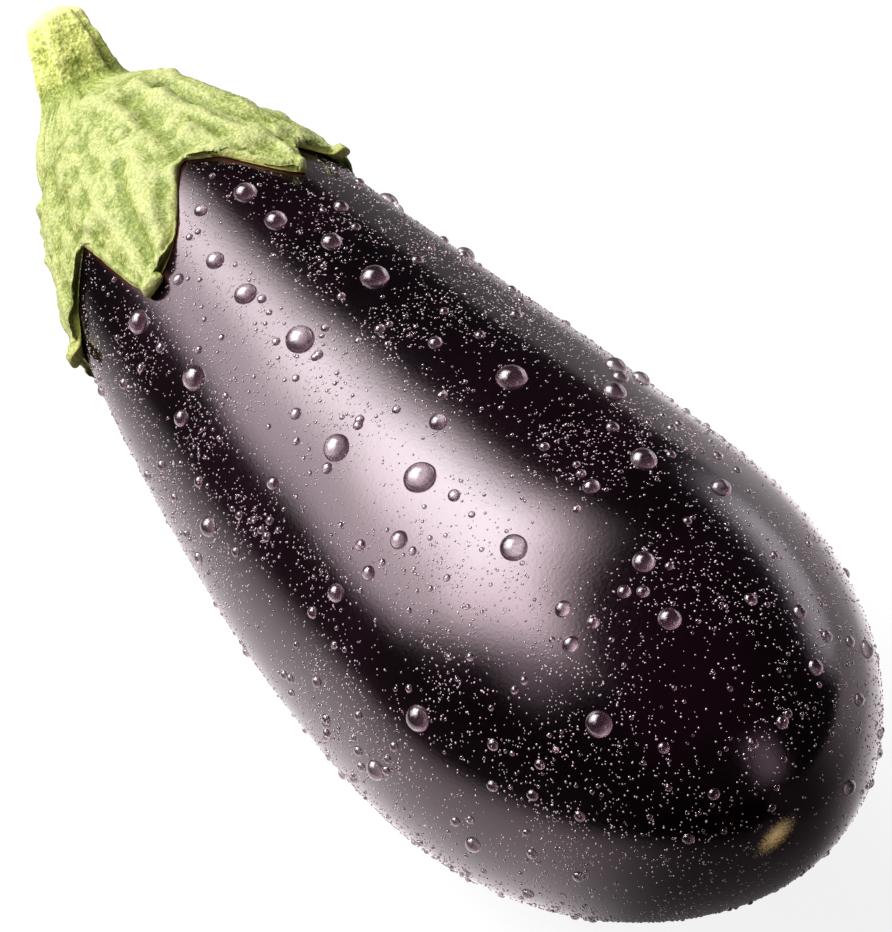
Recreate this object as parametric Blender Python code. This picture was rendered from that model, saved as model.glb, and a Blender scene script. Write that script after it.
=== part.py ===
"""An aubergine as picked, lying on its side: the fruit, the lobed calyx round its shoulder and the stem.

Metres, +Z up. The fruit is first laid out level along X, blossom end towards +X, and is then turned and
lowered to the pose in which it balances. The origin is the middle of the small flat spot it rests on.
"""

import math

import bmesh
import bpy
from mathutils import Matrix, Vector

# ---- Driving dimensions -------------------------------------------------------------------------

# The fruit's outline, along its length from the blossom tip
FRUIT_LENGTH = 0.225
BELLY_RADIUS = 0.044
BELLY_FROM_TIP = 0.062
NECK_RADIUS = 0.0318
SHOULDER_LENGTH = 0.054  # from the neck to the stem end
NECK_TAPER = 0.17  # radius lost per length where the neck runs into the shoulder
BLOSSOM_ROUNDNESS = 1.96  # 2 is an ellipse, more is blunter
SHOULDER_ROUNDNESS = 2.0
NECK_FROM_TIP = FRUIT_LENGTH - SHOULDER_LENGTH

# How the fruit's axis curves: both ends lie this far from where the middle lies
AXIS_RISE = 0.009
AXIS_SWAY = 0.0042

REST_DEPTH = 0.0006  # how far the skin is pressed flat where it rests
GAP = 0.0003  # between pieces that touch

# The calyx, a leathery cup over the shoulder that ends in pointed lobes
CALYX_WALL = 0.0017
COLLAR_WALL = 0.0042  # where the calyx thickens up to meet the stem
COLLAR_WIDTH = 0.030
COLLAR_CLASP = 0.0015  # how far its collar runs up the stem
HOLE_SQUARENESS = 8  # how soon the wall leans with the skin, away from the stem's hole
LOBE_TAPER = 1.3  # above 1 the lobes narrow to slim tips
TIP_CURL = 0.0035  # how far a lobe's tip lifts off the skin
TIP_CURL_LENGTH = 0.009

# Each lobe's tip, and the notch after it: its angle round the axis in degrees (90 is up) and its
# distance down the skin from the stem
LOBE_TIPS = ((20, 0.050), (67, 0.0615), (131, 0.0675), (190, 0.050), (250, 0.058), (312, 0.060))
NOTCHES = ((42, 0.046), (96, 0.0475), (148, 0.0405), (220, 0.041), (280, 0.043), (345, 0.040))

# The stem, cut short
STEM_LENGTH = 0.0235
STEM_BASE_RADIUS = 0.0104
STEM_RADIUS = 0.0080
STEM_CUT_RADIUS = 0.0056
STEM_FLARE_LENGTH = 0.012
STEM_LIFT = math.radians(48)  # steepest climb of the stem's gooseneck
STEM_END_CLIMB = math.radians(12)  # what is left of it at the cut end
STEM_TURN = math.radians(6)  # how far it has turned sideways at the cut end

# How the mass is shared, for finding the pose it balances in
FRUIT_DENSITY = 620.0
CALYX_AND_STEM_MASS = 0.024

# How finely the round forms are divided
FRUIT_SIDES = 44
FRUIT_CAP_STEPS = 9
FRUIT_FLANK_STEPS = 12
CALYX_SIDES = 72
CALYX_WALL_STEPS = 11
STEM_STEPS = 12
WELD = 1e-6  # points closer than this become one

# How finely the shapes are measured
SLOPE_STEP = 0.0001
PATH_STEP = 0.0004
MASS_SLICES = 600
HALVINGS = 40
HEEL_ANGLES = range(200, 341, 10)  # round the calyx's underside, in degrees
HEEL_SHARES = (0.6, 0.7, 0.8, 0.9, 1.0)  # of the way down the calyx


# ---- The fruit's shape --------------------------------------------------------------------------

def fruit_radius(x):
    """Radius of the fruit at a distance x from its blossom tip."""
    x = min(max(x, 0.0), FRUIT_LENGTH)
    if x <= BELLY_FROM_TIP:
        short = (BELLY_FROM_TIP - x) / BELLY_FROM_TIP
        return BELLY_RADIUS * (1 - short**BLOSSOM_ROUNDNESS) ** (1 / BLOSSOM_ROUNDNESS)
    if x <= NECK_FROM_TIP:
        flank = NECK_FROM_TIP - BELLY_FROM_TIP
        s = (x - BELLY_FROM_TIP) / flank
        fall = 3 * s**2 - 2 * s**3
        lean = (s**3 - s**2) * flank * -NECK_TAPER
        return BELLY_RADIUS + (NECK_RADIUS - BELLY_RADIUS) * fall + lean
    past = x - NECK_FROM_TIP
    share = past / (FRUIT_LENGTH - NECK_FROM_TIP)
    return (NECK_RADIUS - NECK_TAPER * past) * (1 - share**SHOULDER_ROUNDNESS) ** (1 / SHOULDER_ROUNDNESS)


def axis_point(x):
    """The middle of the fruit's cross-section at x from the blossom tip, in the level layout."""
    bend = 4 * (x / FRUIT_LENGTH - 0.5) ** 2
    return Vector((FRUIT_LENGTH / 2 - x, AXIS_SWAY * bend, AXIS_RISE * bend))


def ring_point(x, radius, angle):
    return axis_point(x) + Vector((0, radius * math.cos(angle), radius * math.sin(angle)))


def fruit_stations():
    """Distances from the blossom tip, closer together where the ends round off."""
    cap = [BELLY_FROM_TIP * (1 - math.cos(math.pi / 2 * i / FRUIT_CAP_STEPS)) for i in range(FRUIT_CAP_STEPS)]
    flank = NECK_FROM_TIP - BELLY_FROM_TIP
    side = [BELLY_FROM_TIP + flank * i / FRUIT_FLANK_STEPS for i in range(FRUIT_FLANK_STEPS)]
    shoulder = FRUIT_LENGTH - NECK_FROM_TIP
    top = [
        NECK_FROM_TIP + shoulder * math.sin(math.pi / 2 * i / FRUIT_CAP_STEPS)
        for i in range(FRUIT_CAP_STEPS + 1)
    ]
    return cap + side + top


def turning_point(is_past, near, far):
    """The value between near and far from which is_past holds."""
    for _ in range(HALVINGS):
        middle = (near + far) / 2
        if is_past(middle):
            far = middle
        else:
            near = middle
    return near


# ---- The calyx's shape --------------------------------------------------------------------------

def collar_start():
    """Distance from the blossom tip at which the skin is as wide as the stem's hole in the calyx."""
    hole = STEM_BASE_RADIUS + GAP
    return turning_point(lambda x: fruit_radius(x) < hole, NECK_FROM_TIP, FRUIT_LENGTH)


def skin_path(length):
    """Points (x, radius) down the skin from the stem's hole, with their distance from it."""
    x = collar_start()
    radius = fruit_radius(x)
    path = [(0.0, x, radius)]
    run = 0.0
    while run < length:
        slope = (fruit_radius(x - SLOPE_STEP) - radius) / SLOPE_STEP
        x -= PATH_STEP / math.hypot(1, slope)
        new_radius = fruit_radius(x)
        run += math.hypot(path[-1][1] - x, new_radius - radius)
        radius = new_radius
        path.append((run, x, radius))
    return path


def on_path(path, distance):
    """The skin's (x, radius) and its outward direction (along x, along radius) at a distance."""
    index = 1
    while index < len(path) - 1 and path[index][0] < distance:
        index += 1
    before, after = path[index - 1], path[index]
    share = (distance - before[0]) / (after[0] - before[0])
    x = before[1] + (after[1] - before[1]) * share
    radius = before[2] + (after[2] - before[2]) * share
    run = after[0] - before[0]
    outward = ((after[2] - before[2]) / run, (before[1] - after[1]) / run)
    return x, radius, outward


def calyx_reach(angle):
    """How far down the skin the calyx reaches at this angle, in degrees, and the reach of that lobe's tip."""
    for i, (tip_angle, tip_reach) in enumerate(LOBE_TIPS):
        before, after = NOTCHES[i - 1], NOTCHES[i]
        if (angle - before[0]) % 360 > (after[0] - before[0]) % 360:
            continue
        past_tip = (angle - before[0]) % 360 > (tip_angle - before[0]) % 360
        notch_angle, notch_reach = after if past_tip else before
        half = abs((notch_angle - tip_angle + 180) % 360 - 180)
        nearness = 1 - abs((angle - tip_angle + 180) % 360 - 180) / half
        return notch_reach + (tip_reach - notch_reach) * nearness**LOBE_TAPER, tip_reach


def calyx_point(path, angle, share, outside):
    """A point of the calyx's wall at an angle in degrees, this share of the way from the stem to its edge."""
    reach, tip_reach = calyx_reach(angle)
    distance = reach * share
    curled = (distance - tip_reach + TIP_CURL_LENGTH) / TIP_CURL_LENGTH
    height = GAP + TIP_CURL * max(0.0, curled) ** 2
    collar = max(0.0, 1 - distance / COLLAR_WIDTH)
    upright = collar**HOLE_SQUARENESS
    if outside:
        height += CALYX_WALL + (COLLAR_WALL - CALYX_WALL) * math.sqrt(collar)
        to_stem = FRUIT_LENGTH - path[0][1] + COLLAR_CLASP
        height += (to_stem - COLLAR_WALL) * upright
    x, radius, outward = on_path(path, distance)
    endwise = outward[0] + (1 - outward[0]) * upright
    sideways = outward[1] * (1 - upright)
    return ring_point(x + height * endwise, radius + height * sideways, math.radians(angle))


# ---- The pose it rests in -----------------------------------------------------------------------

def centre_of_mass():
    """Of the fruit, with the calyx and stem as one weight at the stem end, in the level layout."""
    mass = CALYX_AND_STEM_MASS
    moment = axis_point(FRUIT_LENGTH) * CALYX_AND_STEM_MASS
    for i in range(MASS_SLICES):
        x = FRUIT_LENGTH * (i + 0.5) / MASS_SLICES
        slice_mass = FRUIT_DENSITY * math.pi * fruit_radius(x) ** 2 * FRUIT_LENGTH / MASS_SLICES
        mass += slice_mass
        moment += axis_point(x) * slice_mass
    return moment / mass


def underside(x):
    return ring_point(x, fruit_radius(x), -math.pi / 2)


def pose_on(x):
    """The matrix from the level layout to the pose that touches the surface at x from the blossom tip."""
    along = underside(x - SLOPE_STEP) - underside(x + SLOPE_STEP)
    turn = Matrix.Rotation(math.atan2(along.z, along.x), 4, "Y")
    return Matrix.Translation(Vector((0, 0, -REST_DEPTH)) - turn @ underside(x)) @ turn


def heel(pose):
    """The height of the calyx's lowest point."""
    path = skin_path(max(reach for _, reach in LOBE_TIPS))
    return min(
        (pose @ calyx_point(path, angle, share, True)).z for angle in HEEL_ANGLES for share in HEEL_SHARES
    )


def rest_pose():
    """It lies where its centre of mass is over the contact, or where the calyx touches down before that."""
    middle = centre_of_mass()

    def past_balance(x):
        pose = pose_on(x)
        return (pose @ middle).x > (pose @ underside(x)).x

    contact = turning_point(past_balance, BELLY_FROM_TIP / 2, NECK_FROM_TIP)
    if heel(pose_on(contact)) < GAP:
        contact = turning_point(lambda x: heel(pose_on(x)) < GAP, BELLY_FROM_TIP / 2, contact)
    return pose_on(contact)


# ---- Building blocks ----------------------------------------------------------------------------

def material(name, colour, roughness):
    made = bpy.data.materials.new(name)
    made.use_nodes = True
    shader = made.node_tree.nodes["Principled BSDF"]
    shader.inputs["Base Color"].default_value = (*colour, 1)
    shader.inputs["Roughness"].default_value = roughness
    made.diffuse_color = (*colour, 1)
    return made


def add_object(name, bm, finish, collection):
    mesh = bpy.data.meshes.new(name)
    bm.to_mesh(mesh)
    bm.free()
    mesh.materials.append(finish)
    mesh.shade_smooth()
    mesh.set_sharp_from_angle(angle=math.radians(40))
    made = bpy.data.objects.new(name, mesh)
    collection.objects.link(made)
    return made


def wrapped_grid(across, along, place):
    """A grid whose points are moved to place(u, v), with u and v from 0 to 1, and its seams welded."""
    bm = bmesh.new()
    bmesh.ops.create_grid(bm, x_segments=across, y_segments=along, size=0.5)
    for vert in bm.verts:
        vert.co = place(vert.co.x + 0.5, vert.co.y + 0.5)
    bmesh.ops.remove_doubles(bm, verts=bm.verts, dist=WELD)
    bmesh.ops.recalc_face_normals(bm, faces=bm.faces)
    return bm


# ---- Sub-parts ----------------------------------------------------------------------------------

def build_fruit(pose):
    """A turned outline, curved along its axis, with the rest spot pressed flat."""
    bm = bmesh.new()
    outline = [bm.verts.new((x, fruit_radius(x), 0)) for x in fruit_stations()]
    edges = [bm.edges.new(pair) for pair in zip(outline, outline[1:])]
    bmesh.ops.spin(
        bm,
        geom=outline + edges,
        cent=(0, 0, 0),
        axis=(1, 0, 0),
        angle=2 * math.pi,
        steps=FRUIT_SIDES,
        use_merge=True,
    )
    bmesh.ops.remove_doubles(bm, verts=bm.verts, dist=WELD)
    for vert in bm.verts:
        vert.co = axis_point(vert.co.x) + Vector((0, vert.co.y, vert.co.z))
    bmesh.ops.transform(bm, matrix=pose, verts=bm.verts)
    bmesh.ops.recalc_face_normals(bm, faces=bm.faces)
    everything = bm.verts[:] + bm.edges[:] + bm.faces[:]
    cut = bmesh.ops.bisect_plane(
        bm, geom=everything, dist=1e-7, plane_co=(0, 0, 0), plane_no=(0, 0, -1), clear_outer=True
    )
    rim = [part for part in cut["geom_cut"] if isinstance(part, bmesh.types.BMEdge)]
    bmesh.ops.contextual_create(bm, geom=rim)
    bmesh.ops.recalc_face_normals(bm, faces=bm.faces)
    return bm


def build_calyx(pose):
    """A cup that follows the skin, one wall thick, with its edge cut into lobes whose tips curl up."""
    path = skin_path(max(reach for _, reach in LOBE_TIPS))

    def place(u, v):
        steps = 2 * CALYX_WALL_STEPS + 2
        step = round(v * steps) % steps
        outside = step <= CALYX_WALL_STEPS
        share = (step if outside else steps - 1 - step) / CALYX_WALL_STEPS
        return calyx_point(path, 360 * u, share, outside)

    bm = wrapped_grid(CALYX_SIDES, 2 * CALYX_WALL_STEPS + 2, place)
    bmesh.ops.transform(bm, matrix=pose, verts=bm.verts)
    bmesh.ops.recalc_face_normals(bm, faces=bm.faces)
    return bm


def stem_stations():
    """The stem's centre points with a radius at each: it climbs from the fruit's top and levels off."""
    point = axis_point(FRUIT_LENGTH) - Vector((GAP, 0, 0))
    step = STEM_LENGTH / STEM_STEPS
    stations = []
    for i in range(STEM_STEPS + 1):
        share = i / STEM_STEPS
        flare = max(0.0, 1 - share * STEM_LENGTH / STEM_FLARE_LENGTH) ** 2
        taper = STEM_RADIUS + (STEM_CUT_RADIUS - STEM_RADIUS) * share
        stations.append((point.copy(), taper + (STEM_BASE_RADIUS - STEM_RADIUS) * flare))
        climb = STEM_LIFT * math.sin(math.pi * share) + STEM_END_CLIMB * share
        turn = STEM_TURN * share
        ahead = Vector((-math.cos(turn), math.sin(turn), 0)) * math.cos(climb)
        point += (ahead + Vector((0, 0, math.sin(climb)))) * step
    return stations


def build_stem(pose):
    """A round bar of changing thickness along the stem's centre line."""
    curve = bpy.data.curves.new("stem_line", "CURVE")
    curve.dimensions = "3D"
    curve.bevel_depth = 1.0
    curve.bevel_resolution = 4
    curve.use_fill_caps = True
    stations = stem_stations()
    spline = curve.splines.new("POLY")
    spline.points.add(len(stations) - 1)
    for point, (place, radius) in zip(spline.points, stations):
        point.co = (*(pose @ place), 1)
        point.radius = radius
    guide = bpy.data.objects.new("stem_line", curve)
    bpy.context.scene.collection.objects.link(guide)
    graph = bpy.context.evaluated_depsgraph_get()
    mesh = bpy.data.meshes.new_from_object(guide.evaluated_get(graph))
    bm = bmesh.new()
    bm.from_mesh(mesh)
    bmesh.ops.remove_doubles(bm, verts=bm.verts, dist=WELD)
    bmesh.ops.recalc_face_normals(bm, faces=bm.faces)
    bpy.data.meshes.remove(mesh)
    bpy.data.objects.remove(guide)
    return bm


def main():
    for old in list(bpy.data.objects):
        bpy.data.objects.remove(old)
    collection = bpy.data.collections.new("aubergine")
    bpy.context.scene.collection.children.link(collection)
    pose = rest_pose()
    skin = material("aubergine_skin", (0.022, 0.008, 0.018), 0.22)
    green = material("calyx_green", (0.46, 0.52, 0.20), 0.55)
    stalk = material("stem_green", (0.50, 0.55, 0.22), 0.55)
    add_object("fruit", build_fruit(pose), skin, collection)
    add_object("calyx", build_calyx(pose), green, collection)
    add_object("stem", build_stem(pose), stalk, collection)


main()
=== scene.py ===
# %% [markdown]
# # An aubergine with water beading on its skin
# The real object is one fruit as it was picked: a heavy, glossy, almost black berry, a leathery green
# calyx that clasps its shoulder with six pointed lobes, and a short ridged stem. It lies on a small flat
# spot and is wet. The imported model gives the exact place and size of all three. Here each of them gets
# its grown surface: first shape, then finish, then the water, and last a pale floor and soft light.

# %% Load the frame
import math
import random

import bmesh
import bpy
import numpy as np
from mathutils import Matrix, Vector, noise
from mathutils.bvhtree import BVHTree
from mathutils.kdtree import KDTree


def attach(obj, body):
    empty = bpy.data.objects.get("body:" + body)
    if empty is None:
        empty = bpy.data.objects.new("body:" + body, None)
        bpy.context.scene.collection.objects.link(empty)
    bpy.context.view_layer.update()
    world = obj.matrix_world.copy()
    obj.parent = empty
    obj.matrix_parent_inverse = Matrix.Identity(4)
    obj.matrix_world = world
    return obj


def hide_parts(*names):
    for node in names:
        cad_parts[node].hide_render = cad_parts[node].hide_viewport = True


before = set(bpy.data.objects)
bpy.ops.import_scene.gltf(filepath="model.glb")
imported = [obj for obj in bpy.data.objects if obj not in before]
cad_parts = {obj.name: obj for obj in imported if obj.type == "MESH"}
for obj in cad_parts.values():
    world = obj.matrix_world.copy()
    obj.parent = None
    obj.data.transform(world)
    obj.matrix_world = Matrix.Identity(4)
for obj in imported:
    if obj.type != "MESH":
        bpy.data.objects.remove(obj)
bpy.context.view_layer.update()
MM = 0.001
print("nodes:", sorted(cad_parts))


# %% [markdown]
# ## Where the fruit lies
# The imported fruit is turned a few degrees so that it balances. Its blossom tip and its stem end are the
# two points that lie farthest apart along its own length, so a search that keeps turning towards them
# finds both, and the line between them gives back the whole pose without storing any angle.

# %% Find the fruit's two ends and its pose
FRUIT_LENGTH = 0.225
AXIS_RISE = 0.009
AXIS_SWAY = 0.0042


def far_ends(node):
    corners = [vert.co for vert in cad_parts[node].data.vertices]
    lengthwise = Vector((1, 0, 0))
    for _ in range(8):
        front = max(corners, key=lengthwise.dot)
        back = min(corners, key=lengthwise.dot)
        lengthwise = (front - back).normalized()
    return front, back


def axis_point(x):
    """The middle of the cross-section at x from the blossom tip, with the fruit laid level."""
    bend = 4 * (x / FRUIT_LENGTH - 0.5) ** 2
    return Vector((FRUIT_LENGTH / 2 - x, AXIS_SWAY * bend, AXIS_RISE * bend))


blossom, crown = far_ends("fruit")
turn = Vector((1, 0, 0)).rotation_difference(blossom - crown).to_matrix().to_4x4()
POSE = Matrix.Translation(crown) @ turn @ Matrix.Translation(-axis_point(FRUIT_LENGTH))
print(f"end to end {(blossom - crown).length / MM:.2f} mm, for a length of {FRUIT_LENGTH / MM:.2f} mm")


# %% [markdown]
# ## The outline of the fruit
# A turned fruit is fully described by its radius at each distance from the blossom tip. Three stretches
# meet smoothly: a round cap, a long flank that narrows towards the neck, and the shoulder that closes
# under the calyx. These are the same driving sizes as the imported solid's, so the fine surface lies on it.

# %% The radius along the fruit
BELLY_RADIUS = 0.044
BELLY_FROM_TIP = 0.062
NECK_RADIUS = 0.0318
NECK_TAPER = 0.17
NECK_FROM_TIP = FRUIT_LENGTH - 0.054
BLOSSOM_ROUNDNESS = 1.96
SHOULDER_ROUNDNESS = 2.0


def fruit_radius(x):
    x = min(max(x, 0.0), FRUIT_LENGTH)
    if x <= BELLY_FROM_TIP:
        short = (BELLY_FROM_TIP - x) / BELLY_FROM_TIP
        return BELLY_RADIUS * (1 - short**BLOSSOM_ROUNDNESS) ** (1 / BLOSSOM_ROUNDNESS)
    if x <= NECK_FROM_TIP:
        flank = NECK_FROM_TIP - BELLY_FROM_TIP
        s = (x - BELLY_FROM_TIP) / flank
        fall = 3 * s**2 - 2 * s**3
        lean = (s**3 - s**2) * flank * -NECK_TAPER
        return BELLY_RADIUS + (NECK_RADIUS - BELLY_RADIUS) * fall + lean
    past = x - NECK_FROM_TIP
    share = past / (FRUIT_LENGTH - NECK_FROM_TIP)
    return (NECK_RADIUS - NECK_TAPER * past) * (1 - share**SHOULDER_ROUNDNESS) ** (1 / SHOULDER_ROUNDNESS)


def around(x, radius, angle):
    """A point of the level layout: x from the tip, at a radius and an angle in degrees (90 is up)."""
    spoke = math.radians(angle)
    return axis_point(x) + Vector((0, radius * math.cos(spoke), radius * math.sin(spoke)))


print(f"belly {2 * BELLY_RADIUS / MM:.0f} mm across, neck {2 * NECK_RADIUS / MM:.0f} mm")


# %% [markdown]
# ## The skin as a mesh
# The outline could be a Screw modifier, but spinning it with bmesh leaves real vertices that can be
# pushed about. The pushing is what makes it a fruit: very low swellings that bend the reflections, a
# shallow pit where the flower fell off, and a flat where it rests.

# %% Helpers for meshes, points and materials
def smooth_object(name, bm, finish):
    mesh = bpy.data.meshes.new(name)
    bm.to_mesh(mesh)
    bm.free()
    mesh.materials.append(finish)
    mesh.shade_smooth()
    made = bpy.data.objects.new(name, mesh)
    bpy.context.scene.collection.objects.link(made)
    print(f"{name}: {len(mesh.vertices)} points, {len(mesh.polygons)} faces")
    return made


def point_tree(points):
    """A tree that finds the nearest of some points."""
    tree = KDTree(len(points))
    for number, point in enumerate(points):
        tree.insert(point, number)
    tree.balance()
    return tree


def empty_material(name):
    made = bpy.data.materials.new(name)
    made.use_nodes = True
    return made


# %% Swellings, the blossom scar's pit and the flat spot
SWELLING = 0.22 * MM
SWELLING_SPACING = 26 * MM
SCAR_FROM_TIP = 0.9 * MM
SCAR_ANGLE = 152
SCAR_PIT = 0.5 * MM
SCAR_WIDTH = 3.2 * MM
CALYX_COVERS_FROM = 150 * MM

scar = POSE @ around(SCAR_FROM_TIP, fruit_radius(SCAR_FROM_TIP), SCAR_ANGLE)
print("blossom scar at", [round(v / MM, 1) for v in scar], "mm")


def swell(place, x):
    """How far the skin stands out from the turned outline: nothing where the calyx covers it."""
    bare = min(1.0, max(0.0, (CALYX_COVERS_FROM - x) / SWELLING_SPACING))
    pit = SCAR_PIT * math.exp(-(((place - scar).length / SCAR_WIDTH) ** 2))
    return bare * SWELLING * noise.noise(place / SWELLING_SPACING) - pit


# %% Spin the outline into the fruit
SKIN_CAP_STEPS = 70
SKIN_FLANK_STEPS = 110
SKIN_SIDES = 288
SKIN_WELD = 1e-7


def skin_stations():
    quarter = [math.pi / 2 * i / SKIN_CAP_STEPS for i in range(SKIN_CAP_STEPS + 1)]
    cap = [BELLY_FROM_TIP * (1 - math.cos(a)) for a in quarter]
    step = (NECK_FROM_TIP - BELLY_FROM_TIP) / SKIN_FLANK_STEPS
    flank = [BELLY_FROM_TIP + step * i for i in range(1, SKIN_FLANK_STEPS)]
    shoulder = [NECK_FROM_TIP + (FRUIT_LENGTH - NECK_FROM_TIP) * math.sin(a) for a in quarter]
    return cap + flank + shoulder


def spin_fruit():
    bm = bmesh.new()
    outline = [bm.verts.new((x, fruit_radius(x), 0)) for x in skin_stations()]
    edges = [bm.edges.new(pair) for pair in zip(outline, outline[1:])]
    bmesh.ops.spin(
        bm, geom=outline + edges, cent=(0, 0, 0), axis=(1, 0, 0), angle=2 * math.pi,
        steps=SKIN_SIDES, use_merge=True,
    )
    bmesh.ops.remove_doubles(bm, verts=bm.verts, dist=SKIN_WELD)
    stations = {vert: vert.co.x for vert in bm.verts}
    for vert in bm.verts:
        vert.co = POSE @ (axis_point(vert.co.x) + Vector((0, vert.co.y, vert.co.z)))
    bmesh.ops.recalc_face_normals(bm, faces=bm.faces)
    bm.normal_update()
    for vert in bm.verts:
        vert.co += vert.normal * swell(vert.co, stations[vert])
    for vert in bm.verts:
        vert.co.z = max(0.0, vert.co.z)
    return bm


fruit_bm = spin_fruit()
skin_tree = BVHTree.FromBMesh(fruit_bm)
print("flat spot:", sum(vert.co.z == 0 for vert in fruit_bm.verts), "points at the surface it rests on")


# %% [markdown]
# ## The calyx and the stem
# On the plant these are one body: the ridges of the stem run on down the middle of each lobe. So both
# are made as one skin, out of six panels, one for each lobe. A panel is a flat grid whose rows are laid
# from the cut end of the stem, down its flare, over the dome and out to the tip of the lobe, then back
# underneath. Neighbouring panels share their edges as far as the notch between them and part there.

# %% The lie of the skin under the calyx
SHOULDER_STEPS = 400


def shoulder_line():
    """Distance down the skin from the stem end, x from the tip and radius, as three rows."""
    sweep = np.linspace(math.pi / 2, 0, SHOULDER_STEPS)
    x = NECK_FROM_TIP + (FRUIT_LENGTH - NECK_FROM_TIP) * np.sin(sweep)
    x = np.concatenate([x, np.linspace(NECK_FROM_TIP, CALYX_COVERS_FROM, SHOULDER_STEPS)[1:]])
    radius = np.array([fruit_radius(v) for v in x])
    run = np.concatenate([[0], np.cumsum(np.hypot(np.diff(x), np.diff(radius)))])
    return run, x, radius


RUN, RUN_X, RUN_RADIUS = shoulder_line()


def skin_frame(run):
    """(x, radius) on the skin, the direction down it and the direction out of it, in that plane."""
    step = 0.2 * MM
    low, high = max(run - step, 0), run + step
    here = np.array([np.interp(run, RUN, RUN_X), np.interp(run, RUN, RUN_RADIUS)])
    ahead = np.array([np.interp(high, RUN, RUN_X), np.interp(high, RUN, RUN_RADIUS)])
    behind = np.array([np.interp(low, RUN, RUN_X), np.interp(low, RUN, RUN_RADIUS)])
    down = (ahead - behind) / np.linalg.norm(ahead - behind)
    return here, down, np.array([down[1], -down[0]])


def run_at(x):
    """Distance down the skin to a ring at x from the blossom tip."""
    return float(np.interp(-x, -RUN_X, RUN))


def x_at(run):
    """The other way round: x from the blossom tip at a distance down the skin."""
    return float(np.interp(run, RUN, RUN_X))


print(f"the shoulder is {run_at(NECK_FROM_TIP) / MM:.1f} mm long down its skin")


# %% The lobes and notches
class Lobe:
    """One lobe: where its tip lies, how it narrows, and how its tip curls off the skin."""

    def __init__(self, angle, x, finger, curl, turn, hollow, slim, rib):
        self.angle = angle
        self.reach = run_at(x * MM)
        self.finger = finger * MM  # half the width of its finger-like end
        self.curl = curl * MM  # length of the stretch that curls
        self.turn = math.radians(turn)  # how far it has turned at the tip
        self.hollow = hollow  # for each side: above 1 it is hollow, below 1 it bulges
        self.slim = slim  # share of the free lobe at which it has narrowed to its finger
        self.rib = rib * MM  # height of its middle rib


LOBES = (
    Lobe(42, 166.5, 1.25, 8, 76, (1.3, 0.9), 0.5, 0.9),
    Lobe(67, 162.0, 1.2, 4, 8, (0.8, 0.65), 0.98, 1.2),
    Lobe(130, 155.5, 2.5, 5, 32, (0.42, 0.7), 0.88, 0.9),
    Lobe(178, 170.5, 1.8, 8, 76, (1.0, 0.9), 0.6, 0.9),
    Lobe(250, 166.0, 1.8, 6, 18, (1.0, 1.0), 0.8, 0.5),
    Lobe(312, 164.0, 1.8, 6, 18, (1.0, 1.0), 0.8, 0.5),
)
# Angle, and distance from the blossom tip in mm, of the notch that follows each lobe
NOTCHES = ((55, 173.0), (96, 178.0), (147, 183.5), (216, 182.0), (280, 180.5), (345, 182.0))
print(len(LOBES), "lobes, the longest", f"{max(lobe.reach for lobe in LOBES) / MM:.0f} mm down the skin")


# %% How a curled tip leaves the skin
CURL_STEPS = 40


def curl_line(lobe):
    """Along the skin, away from it, and the turn so far, at even steps of a stretch that turns faster."""
    share = np.linspace(0, 1, CURL_STEPS + 1)
    turned = lobe.turn * share**1.6
    step = lobe.curl / CURL_STEPS
    along = np.concatenate([[0], np.cumsum(np.cos(turned[1:]) * step)])
    away = np.concatenate([[0], np.cumsum(np.sin(turned[1:]) * step)])
    return share * lobe.curl, along, away, turned


for lobe in LOBES:
    lobe.curl_line = curl_line(lobe)


def lift_off(lobe, run):
    """(x, radius) of the calyx's inner face at a distance down the lobe, and its outward direction."""
    start = lobe.reach - lobe.curl
    here, down, out = skin_frame(min(run, start))
    if run <= start:
        return here, out
    steps, along, away, turned = lobe.curl_line
    past = run - start
    here = here + down * np.interp(past, steps, along) + out * np.interp(past, steps, away)
    bent = np.interp(past, steps, turned)
    return here, out * math.cos(bent) - down * math.sin(bent)


print("curled tips stand off by", [round(float(lobe.curl_line[2][-1]) / MM, 1) for lobe in LOBES], "mm")


# %% The stem's centre line
STEM_LENGTH = 0.0243
STEM_BASE_RADIUS = 0.0125
STEM_RADIUS = 0.0078
STEM_CUT_RADIUS = 0.0061
STEM_FLARE_LENGTH = 0.022
STEM_LIFT = math.radians(48)
STEM_END_CLIMB = math.radians(12)
STEM_TURN = math.radians(6)
STEM_LINE_STEPS = 60


def stem_line():
    """Points and directions along the stem, from the crown to its cut end."""
    point = axis_point(FRUIT_LENGTH)
    line = []
    for i in range(STEM_LINE_STEPS + 1):
        share = i / STEM_LINE_STEPS
        climb = STEM_LIFT * math.sin(math.pi * share) + STEM_END_CLIMB * share
        sideways = STEM_TURN * share
        ahead = Vector((-math.cos(sideways), math.sin(sideways), 0)) * math.cos(climb)
        ahead.z = math.sin(climb)
        line.append((point.copy(), ahead))
        point += ahead * (STEM_LENGTH / STEM_LINE_STEPS)
    return line


STEM_LINE = stem_line()


def stem_frame(along):
    """The centre, the direction towards the cut end and the two spokes, at a distance from the crown."""
    index = min(max(along / STEM_LENGTH, 0), 1) * STEM_LINE_STEPS
    low = min(int(index), STEM_LINE_STEPS - 1)
    centre = STEM_LINE[low][0].lerp(STEM_LINE[low + 1][0], index - low)
    ahead = STEM_LINE[low][1].lerp(STEM_LINE[low + 1][1], index - low).normalized()
    level = (Vector((0, 1, 0)) - ahead * ahead.y).normalized()
    return centre, ahead, level, level.cross(ahead)


print("cut end at", [round(v / MM, 1) for v in POSE @ STEM_LINE[-1][0]], "mm")


# %% [markdown]
# ### Ridges, warts and wrinkles
# A calyx is never smooth. A rib runs down the middle of each lobe with lesser ones beside it, warts sit
# on the dome, and the whole has the uneven hide of old leather. All of it is height above the smooth
# form, so one function adds it up and the panels stay simple. A bump map alone would leave the outline
# smooth, and here the outline shows it.

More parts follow.
